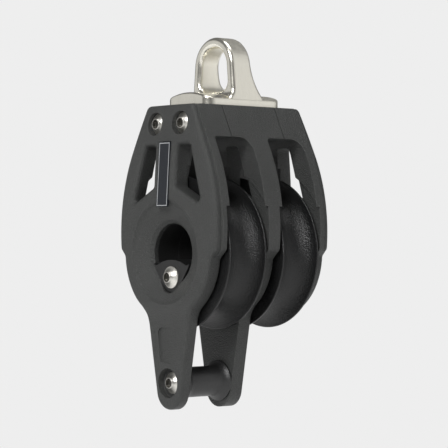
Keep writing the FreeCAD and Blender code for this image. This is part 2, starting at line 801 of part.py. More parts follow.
def mark_arm(body, side):
    """The shallow sloping panel on the arm, deepest along its left edge."""
    sketch = facing_sketch(body, f"{side} * (Size.arm_face - Size.panel_depth / 2)")
    sketch.setExpression("AttachmentOffset.Rotation.Axis.x", "0")
    sketch.setExpression("AttachmentOffset.Rotation.Axis.y", "1")
    sketch.setExpression("AttachmentOffset.Rotation.Axis.z", "0")
    sketch.setExpression("AttachmentOffset.Rotation.Angle", "-Size.panel_tilt")
    loop(
        sketch,
        [
            ("-Size.panel_top_half", "Size.panel_top_up"),
            ("-Size.panel_foot_half", "Size.panel_foot_up"),
            ("Size.panel_foot_half", "Size.panel_foot_up"),
            ("Size.panel_top_half", "Size.panel_top_up"),
        ],
    )
    pocket(sketch, "4", side)
    dress(body, "Fillet", "Size.panel_corner", panel_corner)


def panel_corner(edge):
    """Whether an edge is one of the arm panel's left corners."""
    low, high = extent(edge)
    corners = (
        ("Size.panel_top_half", "Size.panel_top_up"),
        ("Size.panel_foot_half", "Size.panel_foot_up"),
    )
    short = 0.1 < high.y - low.y < 1 and high.x < 0
    return short and any(math.hypot(low.x + number(x), low.z - number(z)) < 0.3 for x, z in corners)


def badge_sketch(body, side, gap):
    """The badge's outline, on a plane that leans with the crown."""
    sketch = facing_sketch(body, f"{side} * (Size.badge_face - Size.badge_thickness)")
    sketch.setExpression("AttachmentOffset.Base.y", "Size.badge_up")
    sketch.setExpression("AttachmentOffset.Rotation.Axis.x", "1")
    sketch.setExpression("AttachmentOffset.Rotation.Axis.y", "0")
    sketch.setExpression("AttachmentOffset.Rotation.Axis.z", "0")
    sketch.setExpression("AttachmentOffset.Rotation.Angle", f"{side} * Size.badge_tilt")
    half_x = f"Size.badge_half_width + {gap}"
    half_z = f"Size.badge_half_length + {gap}"
    corners = [(half_x, half_z), (f"-({half_x})", half_z)]
    corners += [(f"-({half_x})", f"-({half_z})"), (half_x, f"-({half_z})")]
    loop(sketch, corners)
    return sketch


def cut_badge_seat(body, side):
    """The shallow seat for the badge, in the spine between the windows."""
    pocket(badge_sketch(body, side, "Size.badge_gap"), "4", side)


def make_badge(label, side):
    """A thin plain plate that lies in its seat in the spine."""
    body = new_body(label)
    pad(badge_sketch(body, side, "0"), "Size.badge_thickness", side)
    rounds = number("Size.badge_corner")
    dress(body, "Fillet", "Size.badge_corner", lambda e: 0.2 < e.Length < 2 * rounds + 0.2)


def make_middle_plate(label):
    """The plate between the sheaves, with the middle of the bridge and the rear becket arm."""
    body = new_body(label)
    through = "4 * Size.cheek_block"
    plate_y = "Size.plate_thickness / 2"
    wide = facing_sketch(body, "0")
    cheek_outline(wide, "0")
    pad(wide, "2 * Size.plate_lip", 0)
    for side in (FRONT, REAR):
        depth = f"Size.plate_lip - {plate_y}"
        cut_round(body, HUB, "Size.sheave_recess_radius", f"{side} * ({plate_y})", depth, side)
    add_bridge(body, "0", "Size.sheave_pitch", 0)
    dress(body, "Chamfer", "Size.parting_bevel", parting_edge)
    throats = ((-1, "Size.throat_large_radius"), (1, "Size.throat_small_radius"))
    for side, radius in throats:
        level = side * number("Size.plate_lip")
        dress(body, "Fillet", radius, lambda edge, level=level: throat_corner(edge, level))
    disc = facing_sketch(body, "0")
    circle(disc, "0", "0", "Size.disc_radius")
    pad(disc, "Size.plate_thickness", 0)
    becket_arm(body, "0", "Size.plate_thickness", 0)
    dress(body, "Fillet", "Size.arm_root_fillet", arm_root_corner)
    dress(body, "Fillet", "Size.step_fillet", step_corner)
    hollow_hub(body)
    cut_round(body, HUB_PIN, "Size.pin_hole_radius", "0", through, 0)
    cut_windows(body, through, "0", 0)
    dress(body, "Fillet", "Size.window_corner_radius", window_corner)
    cut_round(body, HEAD_PINS, "Size.pin_hole_radius", "0", through, 0)
    cut_round(body, BECKET, "Size.screw_hole_radius", "0", through, 0)
    tang_seat = sketch_on(body, "XY_Plane", "Size.top_up")
    half_x = "Size.tang_half_x + Size.tang_gap"
    half_y = "Size.tang_half_y + Size.tang_gap"
    seat = [(half_x, half_y), (f"-({half_x})", half_y)]
    seat += [(f"-({half_x})", f"-({half_y})"), (half_x, f"-({half_y})")]
    loop(tang_seat, seat)
    pocket(tang_seat, "Size.top_up - Size.tang_low + Size.tang_gap", 1)
    nut_seat = facing_sketch(body, f"{plate_y} - Size.nut_thickness")
    hexagon(nut_seat, "0", "Size.becket_up", "Size.nut_across + 2 * Size.tang_gap")
    pocket(nut_seat, "Size.nut_thickness + 1", REAR)


def hexagon(sketch, across, up, flats):
    """Draw a hexagon with two upright flats, at a place given by expressions."""
    half = f"({flats}) / 2"
    point = f"({flats}) / sqrt(3)"
    corners = []
    for x, z in ((0, 1), (-1, 0.5), (-1, -0.5), (0, -1), (1, -0.5), (1, 0.5)):
        corners.append((f"{across} + {x} * {half}", f"{up} + {z} * {point}"))
    loop(sketch, corners)


# ---------------------------------------------------------------- sheaves and bearings


def make_sheave(label, side):
    """A rope wheel with a round groove outside and two ball tracks inside."""
    body = new_body(label)
    sketch = axial_sketch(body)
    middle = f"{side} * Size.sheave_pitch / 2"
    half = "Size.sheave_width / 2"
    boss = "Size.sheave_boss_width / 2"
    bore = "Size.ball_ring_radius + Size.track_rise"
    centre_up = "Size.sheave_radius + Size.rope_groove_rise"
    mouth = "sqrt(Size.rope_groove_radius^2 - Size.rope_groove_rise^2)"
    far = "(Size.ball_row_shift + Size.track_reach)"
    near = "(Size.ball_row_shift - Size.track_reach)"
    loop(
        sketch,
        [
            (f"{middle} - {half}", "Size.sheave_radius"),
            (f"{middle} - {mouth}", "Size.sheave_radius", "Size.rope_groove_radius", 1),
            (f"{middle} + {mouth}", "Size.sheave_radius"),
            (f"{middle} + {half}", "Size.sheave_radius"),
            (f"{middle} + {half}", "Size.sheave_boss_radius + 0.4"),
            (f"{middle} + {boss}", "Size.sheave_boss_radius"),
            (f"{middle} + {boss}", bore),
            (f"{middle} + {far}", bore, "Size.track_radius", 1),
            (f"{middle} + {near}", bore),
            (f"{middle} - {near}", bore, "Size.track_radius", 1),
            (f"{middle} - {far}", bore),
            (f"{middle} - {boss}", bore),
            (f"{middle} - {boss}", "Size.sheave_boss_radius"),
            (f"{middle} - {half}", "Size.sheave_boss_radius + 0.4"),
        ],
    )
    turned(sketch, "Revolution", "H_Axis")
    rim = number("Size.sheave_radius")

    def on_rim(edge):
        return abs(edge.BoundBox.ZMax - rim) < 1e-3 and edge.Length > 5 * rim

    dress(body, "Fillet", "Size.rim_round", on_rim)


def make_race(label, side, outer):
    """Half of a sheave's fixed race, from the sheave's middle to a plate; outer ones have the tab."""
    body = new_body(label)
    sketch = axial_sketch(body)
    middle = f"{side} * Size.sheave_pitch / 2"
    away = side if outer else -side
    wall = "(Size.sheave_pitch - Size.plate_thickness) / 2"
    if outer:
        wall = "Size.cheek_inner - Size.sheave_pitch / 2"
    shoulder = "Size.ball_ring_radius - Size.track_rise"
    far = "Size.ball_row_shift + Size.track_reach"
    near = "Size.ball_row_shift - Size.track_reach"
    flange = f"{wall} - Size.race_flange_width"
    loop(
        sketch,
        [
            (middle, "0"),
            (f"{middle} + {away} * ({wall})", "0"),
            (f"{middle} + {away} * ({wall})", "Size.race_flange_radius"),
            (f"{middle} + {away} * ({flange})", "Size.race_flange_radius"),
            (f"{middle} + {away} * ({flange})", shoulder),
            (f"{middle} + {away} * ({far})", shoulder, "Size.track_radius", -away),
            (f"{middle} + {away} * ({near})", shoulder),
            (middle, shoulder),
        ],
    )
    turned(sketch, "Revolution", "H_Axis")
    if outer:
        tab = facing_sketch(body, f"{side} * (Size.cheek_inner - 1)")
        gap = "Size.tab_gap"
        belt(tab, "0", f"Size.hub_radius - {gap}", "Size.hub_pin_up", f"Size.tab_radius - {gap}")
        pad(tab, "Size.tab_face - Size.cheek_inner + 1", side)
    hollow_hub(body)
    cut_round(body, HUB_PIN, "Size.screw_hole_radius", "0", "4 * Size.cheek_block", 0)
    pin_length = "2 * Size.pin_half_length + 2 * Size.hub_pin_extra"
    cut_round(body, HUB_PIN, "Size.pin_hole_radius", "0", pin_length, 0)


def make_balls(label, side, outer):
    """One row of bearing balls, between a half race and the sheave."""
    body = new_body(label)
    away = side if outer else -side
    ball = body.newObject("PartDesign::AdditiveSphere", f"{label}_ball")
    ball.AttachmentSupport = (origin_item(body, "XZ_Plane"), [""])
    ball.MapMode = "FlatFace"
    ball.setExpression("Radius", "Size.ball_radius")
    ball.setExpression("AttachmentOffset.Base.y", "Size.ball_ring_radius")
    row_y = f"{side} * Size.sheave_pitch / 2 + {away} * Size.ball_row_shift"
    ball.setExpression("AttachmentOffset.Base.z", f"-({row_y})")
    doc.recompute()
    ring = body.newObject("PartDesign::PolarPattern", f"{label}_ring")
    ring.Originals = [ball]
    ring.Axis = (origin_item(body, "Y_Axis"), [""])
    ring.Angle = 360
    ring.setExpression("Occurrences", "Size.ball_count")
    body.Tip = ring


# ---------------------------------------------------------------- becket bobbin, pins and screws


def make_bobbin(label):
    """The flanged spool between the becket arms."""
    body = new_body(label)
    sketch = axial_sketch(body)
    start = "-Size.cheek_inner"
    end = "-Size.plate_thickness / 2"
    bore = "Size.becket_up + Size.screw_hole_radius"
    core = "Size.becket_up + Size.bobbin_core_radius"
    brim = "Size.becket_up + Size.bobbin_flange_radius"
    land, flare = "Size.bobbin_land", "Size.bobbin_flare"
    loop(
        sketch,
        [
            (start, bore),
            (start, brim),
            (f"{start} + {land}", brim, "Size.bobbin_flare_radius", 1),
            (f"{start} + {land} + {flare}", core),
            (f"{end} - {land} - {flare}", core, "Size.bobbin_flare_radius", 1),
            (f"{end} - {land}", brim),
            (end, brim),
            (end, bore),
        ],
    )
    level = number("Size.becket_up")
    ends = [FreeCAD.Vector(across, level, 0) for across in (-10, 0)]
    axis = sketch.addGeometry(Part.LineSegment(*ends), True)
    sketch.addConstraint(Sketcher.Constraint("Horizontal", axis))
    pin(sketch, axis, 1, "-Size.sheave_pitch / 2", "Size.becket_up")
    bind(sketch, "DistanceX", "Size.sheave_pitch / 2", axis, 1, axis, 2)
    turned(sketch, "Revolution", "Axis0")


def make_tubes(label, spots, half_length):
    """Threaded barrels along Y, their threads plain bores at the thread's size."""
    tubes = []
    for across, up in spots:
        rod = doc.addObject("Part::Cylinder", f"{label}_rod")
        bore = doc.addObject("Part::Cylinder", f"{label}_bore")
        for cylinder, radius in ((rod, "Size.pin_radius"), (bore, "Size.screw_radius + Size.thread_gap")):
            cylinder.setExpression("Radius", radius)
            cylinder.setExpression("Height", f"2 * ({half_length})")
            cylinder.Placement.Rotation = FreeCAD.Rotation(FreeCAD.Vector(1, 0, 0), -90)
            cylinder.setExpression("Placement.Base.x", across)
            cylinder.setExpression("Placement.Base.y", f"-({half_length})")
            cylinder.setExpression("Placement.Base.z", up)
        tube = doc.addObject("Part::Cut", f"{label}_tube")
        tube.Base = rod
        tube.Tool = bore
        tubes.append(tube)
    whole = tubes[0]
    if len(tubes) > 1:
        whole = doc.addObject("Part::Compound", label)
        whole.Links = tubes
    whole.Label = label
    PARTS.append(whole)


def make_screws(label, spots, seat, side, length):
    """Button-head screws whose heads sit at a distance along Y and face outwards."""
    body = new_body(label)
    across, up = spots[0]
    sketch = axial_sketch(body, across)
    level = f"{up}"
    tip = f"{side} * ({seat} - {length})"
    crown = f"{side} * ({seat} + Size.screw_head_height)"
    loop(
        sketch,
        [
            (tip, level),
            (crown, level),
            (crown, f"{level} + Size.screw_crown_radius", "Size.screw_dome_radius", -side),
            (f"{side} * ({seat} + Size.screw_edge)", f"{level} + Size.screw_head_radius"),
            (f"{side} * {seat}", f"{level} + Size.screw_head_radius"),
            (f"{side} * {seat}", f"{level} + Size.screw_radius"),
            (f"{tip} + {side} * Size.screw_tip", f"{level} + Size.screw_radius"),
            (tip, f"{level} + Size.screw_radius - Size.screw_tip"),
        ],
    )
    turned(sketch, "Revolution", "Edge1")
    top = f"{side} * ({seat} + Size.screw_head_height - Size.socket_depth)"
    socket = facing_sketch(body, top)
    hexagon(socket, across, up, "Size.socket_across")
    pocket(socket, "2 * Size.socket_depth", side)
    if len(spots) > 1:
        doc.recompute()
        pair = body.newObject("PartDesign::Mirrored", f"{label}_pair")
        pair.Originals = [item for item in body.Group if item.TypeId in SCREW_FEATURES]
        pair.MirrorPlane = (origin_item(body, "YZ_Plane"), [""])
        body.Tip = pair


SCREW_FEATURES = ("PartDesign::Revolution", "PartDesign::Pocket")


def make_nut(label):
    """The becket nut, let into the back of the middle plate's arm."""
    blank = doc.addObject("Part::Prism", f"{label}_blank")
    blank.Polygon = 6
    bore = doc.addObject("Part::Cylinder", f"{label}_bore")
    blank.setExpression("Circumradius", "Size.nut_across / sqrt(3)")
    bore.setExpression("Radius", "Size.screw_radius + Size.thread_gap")
    for solid in (blank, bore):
        solid.setExpression("Height", "Size.nut_thickness")
        turn = FreeCAD.Rotation(FreeCAD.Vector(1, 0, 0), -90)
        solid.Placement.Rotation = turn * FreeCAD.Rotation(FreeCAD.Vector(0, 0, 1), 30)
        solid.setExpression("Placement.Base.y", "Size.plate_thickness / 2 - Size.nut_thickness")
        solid.setExpression("Placement.Base.z", "Size.becket_up")
    nut = doc.addObject("Part::Cut", label)
    nut.Base = blank
    nut.Tool = bore
    nut.Label = label
    PARTS.append(nut)


# ---------------------------------------------------------------- head


def leg_side(radius, up):
    """Where a side of the ring is at a height, when it leans from a top of the radius."""
    lean = "Size.eye_lean * 1 deg"
    rise = f"(Size.eye_centre_up + {radius} * sin({lean}) - ({up}))"
    return f"({radius} * cos({lean}) + {rise} * tan({lean}))"


def arch_top(radius):
    """The two ends of the ring's round top, right then left."""
    lean = "Size.eye_lean * 1 deg"
    across = f"{radius} * cos({lean})"
    up = f"Size.eye_centre_up + {radius} * sin({lean})"
    return [(across, up, radius, 1), (f"-({across})", up)]


def rises(edge):
    """Whether an edge of the ring isn't straight across from its front to its rear."""
    return not along(edge, 1)


def above_foot(edge):
    """Whether an edge is part of the ring's rims rather than its buried foot."""
    return rises(edge) and extent(edge)[1].z > number("Size.ring_low") + 0.1


def make_ring():
    """The eye ring with its foot, to be joined to the flange."""
    body = doc.addObject("PartDesign::Body", "eye_ring")
    side_view = axial_sketch(body)
    eye_top = "Size.eye_centre_up + Size.eye_half_width"
    toe = "Size.eye_toe_slope * 1 deg"
    bend = "Size.eye_foot_radius"
    bend_y = f"(Size.eye_front + {bend} * (1 - sin({toe})))"
    bend_up = f"(Size.eye_foot_up - {bend} * cos({toe}))"
    toe_y = f"({bend_y} + ({bend_up} - Size.ring_low) / tan({toe}))"
    loop(
        side_view,
        [
            (f"-{toe_y}", "Size.ring_low"),
            ("Size.eye_root_half", "Size.ring_low"),
            ("Size.eye_root_half", "Size.eye_root_up", "Size.eye_flare_radius", -1),
            ("Size.eye_half_thickness", "Size.eye_waist_up"),
            ("Size.eye_crest_half", eye_top),
            ("-Size.eye_front", eye_top),
            ("-Size.eye_front", "Size.eye_foot_up", bend, -1),
            (f"-{bend_y}", bend_up),
        ],
    )
    pad(side_view, "3 * Size.eye_half_width", 0)
    half = "Size.eye_half_width"
    outside = facing_sketch(body, "0")
    low_side = leg_side(half, "Size.ring_low")
    loop(
        outside,
        [
            *arch_top(half),
            (f"-{low_side}", "Size.ring_low"),
            (f"-2 * {half}", "Size.ring_low"),
            (f"-2 * {half}", "Size.eye_centre_up + 2 * Size.eye_half_width"),
            (f"2 * {half}", "Size.eye_centre_up + 2 * Size.eye_half_width"),
            (f"2 * {half}", "Size.ring_low"),
            (low_side, "Size.ring_low"),
        ],
    )
    pocket(outside, "4 * Size.cheek_block", 0)
    hole = facing_sketch(body, "0")
    lean = "Size.eye_lean * 1 deg"
    corner = "Size.eye_hole_corner"
    corner_up = f"Size.eye_hole_low + {corner}"
    corner_x = f"({leg_side('Size.eye_hole_half', corner_up)} - {corner} / cos({lean}))"
    turn_x = f"({corner_x} + {corner} * cos({lean}))"
    turn_up = f"{corner_up} + {corner} * sin({lean})"
    loop(
        hole,
        [
            *arch_top("Size.eye_hole_half"),
            (f"-{turn_x}", turn_up, corner, 1),
            (f"-{corner_x}", "Size.eye_hole_low"),
            (corner_x, "Size.eye_hole_low", corner, 1),
            (turn_x, turn_up),
        ],
    )
    pocket(hole, "4 * Size.cheek_block", 0)
    dress(body, "Fillet", "Size.eye_edge_radius", above_foot)
    return body


def on_flange_top(edge):
    """Whether an edge runs round the domed top of the flange."""
    return extent(edge)[0].z > number("Size.top_up + Size.flange_thickness") - 0.01


def make_head(label):
    """The stainless head: eye ring, domed flange on the bridge, and tang inside the bridge."""
    ring = make_ring()
    body = new_body(label)
    flange = facing_sketch(body, "0")
    half = "Size.flange_half_x"
    side_up = "Size.top_up + Size.flange_thickness"
    loop(
        flange,
        [
            (half, "Size.top_up"),
            (half, side_up, "Size.flange_dome_radius", 1),
            (f"-{half}", side_up),
            (f"-{half}", "Size.top_up"),
        ],
    )
    pad(flange, "2 * Size.flange_half_y", 0)
    dress(body, "Fillet", "Size.flange_corner", lambda e: along(e, 2))
    dress(body, "Fillet", "Size.flange_edge_radius", on_flange_top)
    join = body.newObject("PartDesign::Boolean", f"{label}_join")
    join.addObjects([ring])
    join.Type = "Fuse"
    body.Tip = join
    doc.recompute()
    tang = sketch_on(body, "XY_Plane", "Size.top_up")
    tang_corners = []
    for sign_x, sign_y in ((1, 1), (-1, 1), (-1, -1), (1, -1)):
        tang_corners.append((f"{sign_x} * Size.tang_half_x", f"{sign_y} * Size.tang_half_y"))
    loop(tang, tang_corners)
    block = body.newObject("PartDesign::Pad", f"{label}_tang")
    block.Profile = tang
    block.setExpression("Length", "Size.top_up - Size.tang_low")
    block.Reversed = True
    cut_round(body, HEAD_PINS, "Size.pin_hole_radius", "0", "4 * Size.cheek_block", 0)


# ---------------------------------------------------------------- checks and export


def check_and_export():
    """Stop if anything failed, then write each sub-part's file."""
    doc.recompute()
    for item in doc.Objects:
        if "Invalid" in item.State or "Error" in item.State:
            raise RuntimeError(f"{item.Name} failed: {item.State}")
        if item.TypeId in ("PartDesign::Pocket", "PartDesign::Groove"):
            before = item.BaseFeature.Shape.Volume
            if item.Shape.Volume > before - 1e-3:
                raise RuntimeError(f"{item.Name} cut nothing")
    os.makedirs("parts", exist_ok=True)
    for part in PARTS:
        shape = part.Shape
        if shape.isNull() or not shape.isValid():
            raise RuntimeError(f"{part.Label} has no valid shape")
        shape.exportStep(f"parts/{part.Label}.step")
        print(part.Label, len(shape.Solids), "solids", round(shape.Volume, 1), "mm3")


make_head("head_eye")
make_cheek("front_cheek", FRONT, "Size.throat_small_radius", True)
make_middle_plate("middle_plate")
make_cheek("rear_cheek", REAR, "Size.throat_large_radius", False)
for name, side in (("front", FRONT), ("rear", REAR)):
    make_sheave(f"{name}_sheave", side)
    for place, outer in (("outer", True), ("inner", False)):
        make_race(f"{name}_{place}_race", side, outer)
        make_balls(f"{name}_{place}_balls", side, outer)
    make_screws(f"{name}_head_screws", HEAD_PINS, "Size.head_seat", side, "Size.screw_length")
    make_screws(f"{name}_hub_screw", HUB_PIN, "Size.hub_seat", side, "Size.screw_length")
make_screws("becket_screw", BECKET, "Size.becket_seat", FRONT, "Size.becket_screw_length")
make_tubes("head_pins", HEAD_PINS, "Size.pin_half_length")
make_tubes("hub_pin", HUB_PIN, "Size.pin_half_length + Size.hub_pin_extra")
make_bobbin("becket_bobbin")
make_nut("becket_nut")
make_badge("front_badge", FRONT)
check_and_export()
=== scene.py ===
"""Looks of the double sheave block: materials, light, floor and camera round the CAD parts."""

import json
import math

import bpy
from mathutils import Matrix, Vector


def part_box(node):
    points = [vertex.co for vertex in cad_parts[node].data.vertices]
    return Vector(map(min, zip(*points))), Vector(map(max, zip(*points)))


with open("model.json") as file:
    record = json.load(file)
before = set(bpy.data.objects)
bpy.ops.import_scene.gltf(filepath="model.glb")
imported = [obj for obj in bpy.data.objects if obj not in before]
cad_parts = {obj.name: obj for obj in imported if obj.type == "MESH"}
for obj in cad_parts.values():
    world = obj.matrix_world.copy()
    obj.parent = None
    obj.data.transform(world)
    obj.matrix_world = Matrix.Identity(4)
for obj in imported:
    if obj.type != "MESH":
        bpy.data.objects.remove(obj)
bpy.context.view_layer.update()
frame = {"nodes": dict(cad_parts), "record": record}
nodes = frame["nodes"]

MM = 0.001
STUDIO = (0.855, 0.855, 0.855)
BEVEL_SAMPLES = 6
# The cosines at which an edge starts to look worn and to get a painted highlight, and at which
# both are full.
FLAT_DOT = 0.995
SHARP_DOT = 0.85


# ---------------------------------------------------------------- materials


class Surface:
    """A node material, with short calls for its textures and maths."""

    def __init__(self, name):
        self.material = bpy.data.materials.new(name)
        self.material.use_nodes = True
        self.tree = self.material.node_tree
        self.shader = self.tree.nodes["Principled BSDF"]
        self.place = self.tree.nodes.new("ShaderNodeTexCoord").outputs["Object"]

    def link(self, source, target):
        """Join a node's output to an input."""
        self.tree.links.new(source, target)

    def new(self, kind, **settings):
        """A new node, with its own settings set."""
        node = self.tree.nodes.new(kind)
        for key, value in settings.items():
            setattr(node, key, value)
        return node

    def fixed(self, **values):
        """Set shader sockets that are the same all over the surface."""
        for name, value in values.items():
            self.shader.inputs[name.replace("_", " ")].default_value = value

    def drive(self, **sources):
        """Link shader sockets to node outputs."""
        for name, source in sources.items():
            self.link(source, self.shader.inputs[name.replace("_", " ")])

    def noise(self, scale, detail=4.0, roughness=0.6, stretch=None):
        """Noise over the surface, with features about 1 / scale metres across."""
        node = self.new("ShaderNodeTexNoise")
        node.inputs["Scale"].default_value = scale
        node.inputs["Detail"].default_value = detail
        node.inputs["Roughness"].default_value = roughness
        place = self.place
        if stretch:
            mapping = self.new("ShaderNodeMapping")
            mapping.inputs["Scale"].default_value = stretch
            self.link(place, mapping.inputs["Vector"])
            place = mapping.outputs["Vector"]
        self.link(place, node.inputs["Vector"])
        return node.outputs["Fac"]

    def cells(self, scale):
        """Cell texture over the surface, as the distance to the nearest point."""
        node = self.new("ShaderNodeTexVoronoi", feature="F1")
        node.inputs["Scale"].default_value = scale
        self.link(self.place, node.inputs["Vector"])
        return node.outputs["Distance"]

    def axes(self, vector):
        """The three parts of a vector, by the names X, Y and Z."""
        split = self.new("ShaderNodeSeparateXYZ")
        self.link(vector, split.inputs[0])
        return split.outputs

    def maths(self, operation, first, second=None, third=None):
        """The result of one sum. Each term is a plain number or an output."""
        node = self.new("ShaderNodeMath", operation=operation)
        for socket, value in zip(node.inputs, (first, second, third)):
            if value is None:
                continue
            if isinstance(value, (int, float)):
                socket.default_value = value
            else:
                self.link(value, socket)
        return node.outputs[0]

    def remap(self, value, low, high, out_low=0.0, out_high=1.0, smooth=False):
        """A value moved from one range to another, and kept inside it."""
        node = self.new("ShaderNodeMapRange")
        if smooth:
            node.interpolation_type = "SMOOTHSTEP"
        self.link(value, node.inputs["Value"])
        bounds = (low, high, out_low, out_high)
        for name, number in zip(("From Min", "From Max", "To Min", "To Max"), bounds):
            node.inputs[name].default_value = number
        return node.outputs["Result"]

    def blend(self, value, dark, light):
        """A colour between two, by a value from 0 to 1. Each is a plain colour or an output."""
        node = self.new("ShaderNodeMix", data_type="RGBA")
        self.link(value, node.inputs["Factor"])
        colours = [socket for socket in node.inputs if socket.type == "RGBA"]
        for socket, colour in zip(colours, (dark, light)):
            if isinstance(colour, tuple):
                socket.default_value = (*colour, 1)
            else:
                self.link(colour, socket)
        return [socket for socket in node.outputs if socket.type == "RGBA"][0]

    def bump(self, height, distance, strength=1.0, under=None):
        """Relief from a height. Its strength is a plain number or an output."""
        node = self.new("ShaderNodeBump")
        node.inputs["Distance"].default_value = distance
        self.link(height, node.inputs["Height"])
        if isinstance(strength, (int, float)):
            node.inputs["Strength"].default_value = strength
        else:
            self.link(strength, node.inputs["Strength"])
        if under is not None:
            self.link(under, node.inputs["Normal"])
        return node.outputs["Normal"]

    def rounded(self, radius):
        """The surface's direction with its edges slightly rounded."""
        node = self.new("ShaderNodeBevel", samples=BEVEL_SAMPLES)
        node.inputs["Radius"].default_value = radius
        return node.outputs["Normal"]

    def edges(self, rounded):
        """1 along edges, where handling polishes the surface and a lighter colour is painted as a
        highlight, and 0 elsewhere.
        """
        geometry = self.new("ShaderNodeNewGeometry")
        dot = self.new("ShaderNodeVectorMath", operation="DOT_PRODUCT")
        self.link(rounded, dot.inputs[0])
        self.link(geometry.outputs["Normal"], dot.inputs[1])
        return self.remap(dot.outputs["Value"], FLAT_DOT, SHARP_DOT)

    def nearest(self, values):
        """The smallest of several outputs."""
        least = values[0]
        for value in values[1:]:
            least = self.maths("MINIMUM", least, value)
        return least

    def gap_to(self, value, place):
        """How far an output is from a fixed place, on either side."""
        return self.maths("ABSOLUTE", self.maths("SUBTRACT", value, place))

    def driver_of(self, name):
        """The output that already drives a shader socket."""
        return self.shader.inputs[name].links[0].from_socket


def shade(colour, factor, lift=0.0):
    """A colour with each part multiplied and then raised."""
    return tuple(part * factor + lift for part in colour)


# The part of a noise texture's range that most of its values lie in.
MIDDLE_BAND = (0.3, 0.7)
CLOUD_SCALE = 90
FINE_PER_CELL = 2.2
FINE_RELIEF = 0.6
CLOUD_SHARE = 0.6
FINE_SHARE = 0.4
SPECKS_PER_CELL = 1.4
SPECK_BAND = (0.60, 0.72)
SPECK_SHARE = 0.6
# The painted highlight along edges: its tint, lift and share of the colour.
EDGE_HIGHLIGHT_TINT = 1.35
EDGE_HIGHLIGHT_LIFT = 0.004
EDGE_HIGHLIGHT_SHARE = 0.5
WORN_SMOOTHING = 0.10


def moulded(
    name,
    dark,
    light,
    roughness,
    cell,
    depth,
    speckle=0.0,
    edge=0.25 * MM,
    gloss=0.5,
    detail=None,
):
    """Glass-filled moulding: a spark-eroded grain, faint flow clouds and slightly shiny edges,
    with a highlight painted along them.
    """
    surface = Surface(name)
    fine = surface.noise(FINE_PER_CELL / cell, 3)
    clouds = surface.noise(CLOUD_SCALE, 5)
    round_normal = surface.rounded(edge)
    wear_and_highlight = surface.edges(round_normal)
    height = surface.maths("MULTIPLY_ADD", fine, FINE_RELIEF, surface.cells(1 / cell))
    cloud_part = surface.maths("MULTIPLY", clouds, CLOUD_SHARE)
    tone = surface.maths("ADD", cloud_part, surface.maths("MULTIPLY", fine, FINE_SHARE))
    specks = surface.remap(surface.noise(SPECKS_PER_CELL / cell, 2, 0.7), *SPECK_BAND)
    specks = surface.maths("MULTIPLY", specks, SPECK_SHARE)
    colour = surface.blend(tone, dark, light)
    colour = surface.blend(specks, colour, shade(light, 1.0 + speckle))
    # Painted highlight: the colour is made lighter along the edges.
    edge_highlight_colour = shade(light, EDGE_HIGHLIGHT_TINT, lift=EDGE_HIGHLIGHT_LIFT)
    colour = surface.blend(surface.maths("MULTIPLY", wear_and_highlight, EDGE_HIGHLIGHT_SHARE), colour, edge_highlight_colour)
    rough = surface.remap(clouds, *MIDDLE_BAND, roughness - 0.04, roughness + 0.05)
    rough = surface.maths("SUBTRACT", rough, surface.maths("MULTIPLY", wear_and_highlight, WORN_SMOOTHING))
    bump = surface.bump(height, depth, under=round_normal)
    surface.drive(Base_Color=colour, Roughness=rough, Normal=bump)
    surface.fixed(Specular_IOR_Level=gloss)
    if detail:
        detail(surface)
    return surface.material


SEAM_OUTER = 0.16 * MM
SEAM_INNER = 0.06 * MM
SEAM_COLOUR = (0.004, 0.004, 0.004)
BRIDGE_START = 26.0 * MM
BRIDGE_FULL = 27.0 * MM


def seam_shadow(surface):
    """The dark line where the mouldings meet across the bridge, at the middle plate's faces."""
    place = surface.axes(surface.place)
    low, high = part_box("middle_plate")
    nearest = surface.nearest([surface.gap_to(place["Y"], face) for face in (low.y, high.y)])
    line = surface.remap(nearest, SEAM_OUTER, SEAM_INNER)
    line = surface.maths("MULTIPLY", line, surface.remap(place["Z"], BRIDGE_START, BRIDGE_FULL))
    colour = surface.driver_of("Base Color")
    rough = surface.driver_of("Roughness")
    surface.drive(Base_Color=surface.blend(line, colour, SEAM_COLOUR))
    surface.drive(Roughness=surface.maths("MAXIMUM", line, rough))


SCRATCH_STRETCH = (1, 1, 0.12)


def turned_steel(name, colour, roughness, scratch):
    """Turned steel, with soft clouds in its gloss and fine short scratches."""
    surface = Surface(name)
    clouds = surface.noise(240, 4)
    lines = surface.noise(1500, 4, 0.7, stretch=SCRATCH_STRETCH)
    tone = surface.remap(clouds, *MIDDLE_BAND)
    rough = surface.remap(clouds, *MIDDLE_BAND, roughness * 0.75, roughness * 1.2)
    rough = surface.maths("MULTIPLY_ADD", lines, scratch, rough)
    height = surface.maths("MULTIPLY_ADD", clouds, 2.0, lines)
    bump = surface.bump(height, 0.02 * MM, 0.5, surface.rounded(0.15 * MM))
    base = surface.blend(tone, shade(colour, 0.86), colour)
    surface.drive(Base_Color=base, Roughness=rough, Normal=bump)
    surface.fixed(Metallic=1.0)
    return surface.material


def screw_axes():
    """Where the screws' axes cross the block, as places across and up."""
    low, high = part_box("front_head_screws")
    reach = (high.z - low.z) / 2
    up = (low.z + high.z) / 2
    spots = [(low.x + reach, up), (high.x - reach, up)]
    for name in ("front_hub_screw", "becket_screw"):
        low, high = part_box(name)
        spots.append(((low.x + high.x) / 2, (low.z + high.z) / 2))
    return spots


def socket_distance(surface):
    """The distance from the nearest screw's axis, measured across the block."""
    place = surface.axes(surface.place)
    squares = []
    for across, up in screw_axes():
        aside = surface.maths("SUBTRACT", place["X"], across)
        above = surface.maths("SUBTRACT", place["Z"], up)
        above_squared = surface.maths("MULTIPLY", above, above)
        squares.append(surface.maths("MULTIPLY_ADD", aside, aside, above_squared))
    return surface.maths("SQRT", surface.nearest(squares))


SOCKET_EDGE = 1.35 * MM
SOCKET_INSIDE = 1.2 * MM
RING_WAVES = 45000
SCREW_ROUGHNESS = (0.30, 0.42)
# Painted shade inside the hex sockets: its darker and its lighter colour.
SOCKET_SHADE_DARK = (0.10, 0.10, 0.095)
SOCKET_SHADE_LIGHT = (0.34, 0.33, 0.30)


